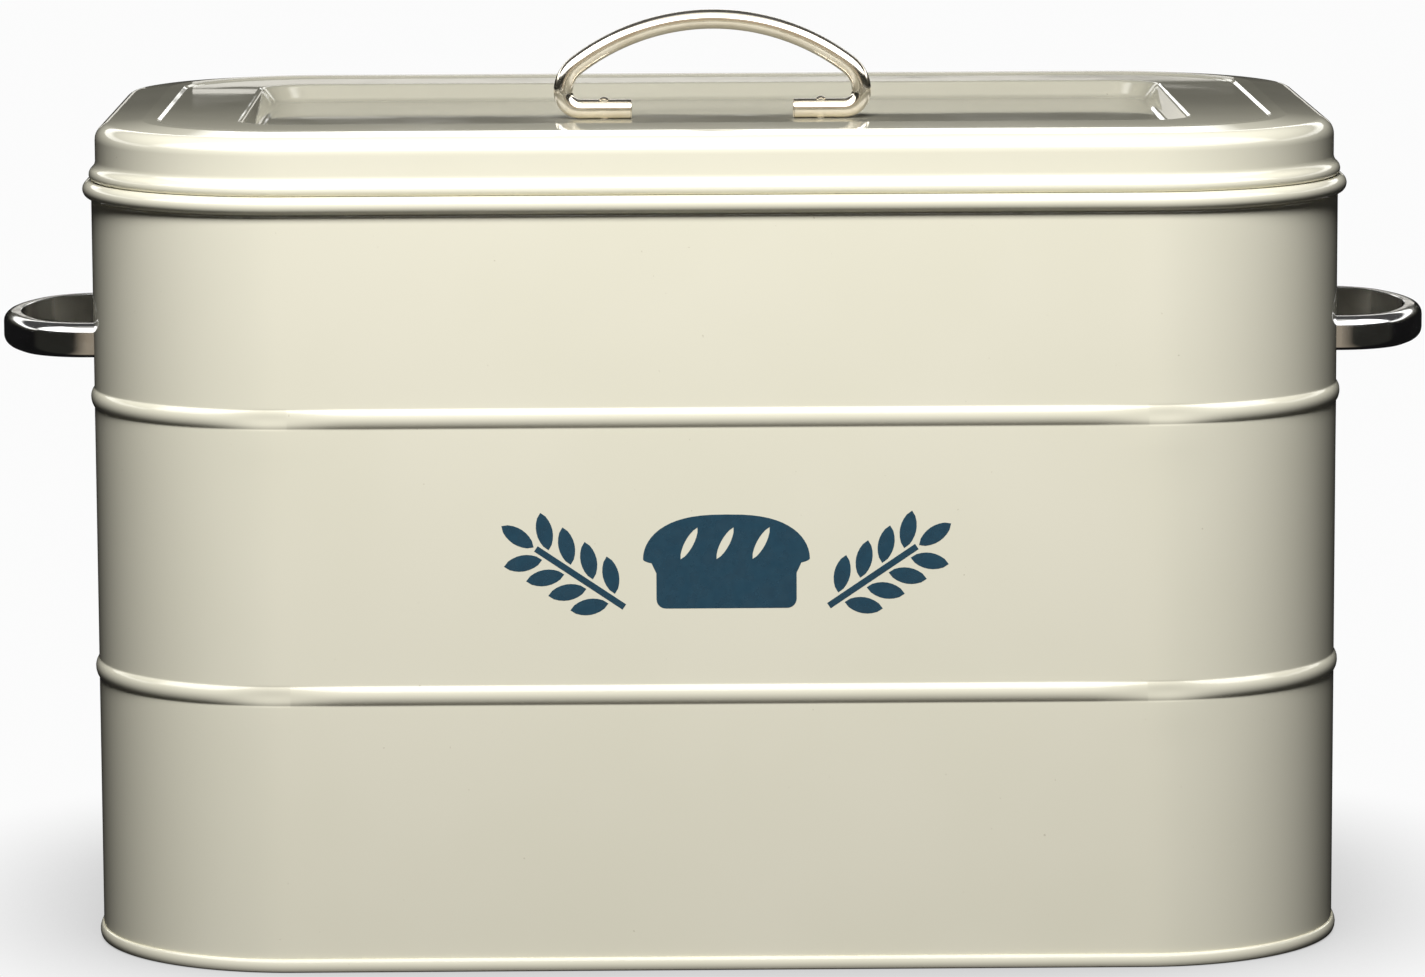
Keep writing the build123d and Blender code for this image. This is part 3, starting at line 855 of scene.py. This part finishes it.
def print_piece():
    """The printed motif, a hair proud of the flat front."""
    curve = bpy.data.curves.new("print_outline", "CURVE")
    curve.dimensions = "2D"
    curve.fill_mode = "BOTH"
    curve.extrude = PRINT_THICKNESS / 2 * MM
    for shape in [*loaf(), *wheat_ear(1), *wheat_ear(-1)]:
        spline = curve.splines.new("POLY")
        spline.points.add(len(shape) - 1)
        for point, (x, z) in zip(spline.points, shape):
            point.co = (x * MM, z * MM, 0.0, 1.0)
        spline.use_cyclic_u = True
    drawn = bpy.data.objects.new("print_outline", curve)
    mesh_data = bmesh.new()
    mesh_data.from_mesh(bpy.data.meshes.new_from_object(drawn))
    bpy.data.objects.remove(drawn)
    bpy.data.curves.remove(curve)
    place = Vector((PRINT_X, -BODY_DEPTH / 2 - PRINT_THICKNESS / 2, PRINT_Z)) * MM
    stand_up = Matrix.Translation(place) @ Matrix.Rotation(radians(90), 4, "X")
    bmesh.ops.transform(mesh_data, matrix=stand_up, verts=mesh_data.verts)
    finished("front_print", mesh_data, "bin", [], ink)


wall_piece()
base_piece()
lid_piece()
lid_handle_piece()
side_handle_piece("right_handle_bar", "side_handle_right", 1)
side_handle_piece("left_handle_bar", "side_handle_left", -1)
print_piece()

for node, material in (
    ("rim_wire", steel),
    ("lid_handle_rivets", nickel),
    ("lid_handle_washers", fastener),
    ("side_handle_screws", fastener),
    ("side_handle_washers", fastener),
):
    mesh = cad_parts[node].data
    mesh.materials.clear()
    mesh.materials.append(material)


# ---------------------------------------------------------------- studio

def emission(name, set_glow):
    """A material that only glows, and is never picked as a lamp. set_glow gives it its light."""
    material = bpy.data.materials.new(name)
    material.use_nodes = True
    tree = material.node_tree
    tree.nodes.clear()
    output = tree.nodes.new("ShaderNodeOutputMaterial")
    glow = tree.nodes.new("ShaderNodeEmission")
    tree.links.new(glow.outputs["Emission"], output.inputs["Surface"])
    set_glow(tree, glow)
    material.cycles.emission_sampling = "NONE"
    return material


def only_in_reflections(obj):
    """Let an object be seen in shiny surfaces and nowhere else."""
    obj.visible_camera = False
    obj.visible_diffuse = False
    obj.visible_transmission = False
    obj.visible_volume_scatter = False
    obj.visible_shadow = False


def stage_object(name, mesh_data, material, rig=None):
    """An object that belongs to the studio."""
    mesh = bpy.data.meshes.new(name)
    mesh_data.to_mesh(mesh)
    mesh_data.free()
    mesh.materials.append(material)
    mesh.shade_smooth()
    obj = bpy.data.objects.new(name, mesh)
    bpy.context.scene.collection.objects.link(obj)
    obj.parent = rig
    return obj


def make_camera():
    """The camera, at the angle and distance of the reference view."""
    turned = Matrix.Rotation(CAMERA_YAW, 3, "Z") @ Matrix.Rotation(CAMERA_PITCH, 3, "X")
    right, forward, up = (turned.col[index].copy() for index in range(3))
    rolled_right = cos(CAMERA_ROLL) * right + sin(CAMERA_ROLL) * up
    rolled_up = cos(CAMERA_ROLL) * up - sin(CAMERA_ROLL) * right
    data = bpy.data.cameras.new("camera")
    data.sensor_width = CAMERA_SENSOR
    data.lens = CAMERA_LENS
    data.clip_start = CAMERA_SEES_FROM * MM
    data.clip_end = CAMERA_SEES_TO * MM
    camera = bpy.data.objects.new("camera", data)
    bpy.context.scene.collection.objects.link(camera)
    basis = Matrix((rolled_right, rolled_up, -forward)).transposed().to_4x4()
    camera.matrix_world = Matrix.Translation(Vector(CAMERA_PLACE) * MM) @ basis
    bpy.context.scene.camera = camera
    return camera


def make_rig(camera):
    """An empty that turns about Z with the camera, so that each view has the same light."""
    rig = bpy.data.objects.new("light_rig", None)
    bpy.context.scene.collection.objects.link(rig)
    follow = rig.constraints.new("COPY_ROTATION")
    follow.target = camera
    follow.use_x = False
    follow.use_y = False
    return rig


def room_glow(tree, glow):
    """What shiny surfaces see: white high up in front, with a dim patch overhead, dark low down, and
    a dark back with a dim band and a narrow bright strip."""
    place = tree.nodes.new("ShaderNodeTexCoord")
    unit = tree.nodes.new("ShaderNodeVectorMath")
    unit.operation = "NORMALIZE"
    tree.links.new(place.outputs["Object"], unit.inputs[0])
    split = tree.nodes.new("ShaderNodeSeparateXYZ")
    tree.links.new(unit.outputs["Vector"], split.inputs[0])
    aside = tree.nodes.new("ShaderNodeMath")
    aside.operation = "ABSOLUTE"
    tree.links.new(split.outputs["X"], aside.inputs[0])

    def ramp(factor, stops):
        """Colours at places along a factor."""
        node = tree.nodes.new("ShaderNodeValToRGB")
        elements = node.color_ramp.elements
        # A new element's place doesn't matter here: the loop below sets them all.
        while len(elements) < len(stops):
            elements.new(0.5)
        for element, (position, colour) in zip(elements, stops):
            element.position = position
            element.color = (*colour, 1.0)
        tree.links.new(factor, node.inputs["Fac"])
        return node.outputs["Color"]

    def combined(way, first, second, factor=None):
        """Two colours mixed, multiplied or added."""
        node = tree.nodes.new("ShaderNodeMix")
        node.data_type = "RGBA"
        node.blend_type = way
        node.inputs["Factor"].default_value = 1.0
        if factor is not None:
            tree.links.new(factor, node.inputs["Factor"])
        tree.links.new(first, node.inputs[MIX_FIRST])
        tree.links.new(second, node.inputs[MIX_SECOND])
        return node.outputs[MIX_RESULT]

    up = split.outputs["Z"]
    ahead = ramp(aside.outputs[0], WARM_MIDDLE)
    front = combined("ADD", ramp(up, FRONT_HEIGHTS), combined("MULTIPLY", ahead, ramp(up, WARM_HEIGHTS)))
    strip = combined("MULTIPLY", ramp(aside.outputs[0], STRIP_WIDTHS), ramp(up, STRIP_HEIGHTS))
    back = combined("ADD", ramp(up, BACK_HEIGHTS), strip)
    backness = tree.nodes.new("ShaderNodeMapRange")
    backness.interpolation_type = "SMOOTHSTEP"
    backness.inputs["From Min"].default_value = BACK_STARTS
    backness.inputs["From Max"].default_value = BACK_FULL
    tree.links.new(split.outputs["Y"], backness.inputs["Value"])
    tree.links.new(combined("MIX", front, back, backness.outputs["Result"]), glow.inputs["Color"])
    glow.inputs["Strength"].default_value = ROOM_STRENGTH


def card_glow(tree, glow):
    """An evenly lit warm white card."""
    glow.inputs["Color"].default_value = (*CARD_COLOUR, 1.0)
    glow.inputs["Strength"].default_value = CARD_STRENGTH


def floor_glow(tree, glow):
    """An even pale glow with a painted contact shadow, darker only where something stands close."""
    # Ambient occlusion paints the contact shadow into the floor's glow.
    nearby = tree.nodes.new("ShaderNodeAmbientOcclusion")
    nearby.samples = FLOOR_SHADOW_SAMPLES
    nearby.inputs["Distance"].default_value = FLOOR_SHADOW_REACH * MM
    tone = tree.nodes.new("ShaderNodeMapRange")
    tone.inputs["To Min"].default_value = FLOOR_SHADE
    tone.inputs["To Max"].default_value = FLOOR_TONE
    tree.links.new(nearby.outputs["AO"], tone.inputs["Value"])
    tree.links.new(tone.outputs["Result"], glow.inputs["Strength"])


def make_room(rig):
    """A dome that only shiny surfaces see."""
    mesh_data = bmesh.new()
    bmesh.ops.create_uvsphere(
        mesh_data,
        u_segments=DOME_SEGMENTS,
        v_segments=DOME_SEGMENTS // 2,
        radius=DOME_RADIUS * MM,
    )
    only_in_reflections(stage_object("room_dome", mesh_data, emission("room", room_glow), rig))


def make_scrim(rig):
    """A grey net over the lid that holds the key lamp back from the lid's flats."""
    material = bpy.data.materials.new("scrim_net")
    material.use_nodes = True
    tree = material.node_tree
    tree.nodes.clear()
    output = tree.nodes.new("ShaderNodeOutputMaterial")
    net = tree.nodes.new("ShaderNodeBsdfTransparent")
    net.inputs["Color"].default_value = (SCRIM_PASSES, SCRIM_PASSES, SCRIM_PASSES, 1.0)
    tree.links.new(net.outputs[0], output.inputs["Surface"])
    mesh_data = bmesh.new()
    corners = (
        (-SCRIM_HALF_WIDTH, SCRIM_BOTTOM_Z), (SCRIM_HALF_WIDTH, SCRIM_BOTTOM_Z),
        (SCRIM_HALF_WIDTH, SCRIM_TOP_Z), (-SCRIM_HALF_WIDTH, SCRIM_TOP_Z),
    )
    mesh_data.faces.new([mesh_data.verts.new(Vector((x, SCRIM_Y, z)) * MM) for x, z in corners])
    scrim = stage_object("scrim", mesh_data, material, rig)
    scrim.visible_camera = False
    scrim.visible_glossy = False
    scrim.visible_diffuse = False


def make_low_cards(rig):
    """Low white cards behind the bin. The back of the lid's flats mirrors the middle one, and the
    tops of the side handles mirror the outer two."""
    bottom, top_left, top_right = LID_CARD_Z
    width = LID_CARD_HALF_WIDTH
    cards = [((-width, bottom), (width, bottom), (width, top_right), (-width, top_left))]
    near, far = HANDLE_CARD_X
    low, high = HANDLE_CARD_Z
    for side in (-1, 1):
        cards.append(((side * near, low), (side * far, low), (side * far, high), (side * near, high)))
    mesh_data = bmesh.new()
    for corners in cards:
        mesh_data.faces.new([mesh_data.verts.new(Vector((x, CARD_Y, z)) * MM) for x, z in corners])
    only_in_reflections(stage_object("low_cards", mesh_data, emission("card", card_glow), rig))


def make_floor():
    """A plain pale glowing floor with a painted contact shadow, not mirrored in the enamel."""
    mesh_data = bmesh.new()
    bmesh.ops.create_grid(mesh_data, x_segments=1, y_segments=1, size=FLOOR_HALF_SIZE * MM)
    floor = stage_object("floor", mesh_data, emission("pale_floor", floor_glow))
    floor.visible_glossy = False
    floor.visible_diffuse = False


def make_lamp(name, rig, place, size, watts, spread):
    """A soft rectangular lamp that shiny surfaces don't see, because the dome stands for it."""
    data = bpy.data.lights.new(name, "AREA")
    data.shape = "RECTANGLE"
    data.size, data.size_y = (side * MM for side in size)
    data.energy = watts
    data.spread = radians(spread)
    data.color = LAMP_COLOUR
    lamp = bpy.data.objects.new(name, data)
    bpy.context.scene.collection.objects.link(lamp)
    lamp.location = Vector(place) * MM
    lamp.rotation_euler = (Vector(LAMP_AIM) - Vector(place)).to_track_quat("-Z", "Y").to_euler()
    lamp.parent = rig
    lamp.visible_glossy = False


def make_world():
    """A pale surround for the camera, and a weak even light on everything else."""
    world = bpy.data.worlds.new("pale_surround")
    world.use_nodes = True
    tree = world.node_tree
    tree.nodes.clear()
    output = tree.nodes.new("ShaderNodeOutputWorld")
    seen = tree.nodes.new("ShaderNodeBackground")
    seen.inputs["Color"].default_value = (1.0, 1.0, 1.0, 1.0)
    seen.inputs["Strength"].default_value = SURROUND_SEEN
    felt = tree.nodes.new("ShaderNodeBackground")
    felt.inputs["Color"].default_value = (*SURROUND_COLOUR, 1.0)
    felt.inputs["Strength"].default_value = SURROUND_FELT
    path = tree.nodes.new("ShaderNodeLightPath")
    mix = tree.nodes.new("ShaderNodeMixShader")
    tree.links.new(path.outputs["Is Camera Ray"], mix.inputs["Fac"])
    tree.links.new(felt.outputs[0], mix.inputs[1])
    tree.links.new(seen.outputs[0], mix.inputs[2])
    tree.links.new(mix.outputs[0], output.inputs["Surface"])
    bpy.context.scene.world = world


camera = make_camera()
rig = make_rig(camera)
make_world()
make_floor()
make_room(rig)
make_low_cards(rig)
make_scrim(rig)
make_lamp("key_lamp", rig, KEY_PLACE, KEY_SIZE, KEY_WATTS, KEY_SPREAD)
make_lamp("top_lamp", rig, TOP_PLACE, TOP_SIZE, TOP_WATTS, TOP_SPREAD)

scene = bpy.context.scene
scene.view_settings.view_transform = "Standard"
scene.view_settings.look = "None"
scene.view_settings.exposure = 0.0
scene.view_settings.gamma = 1.0
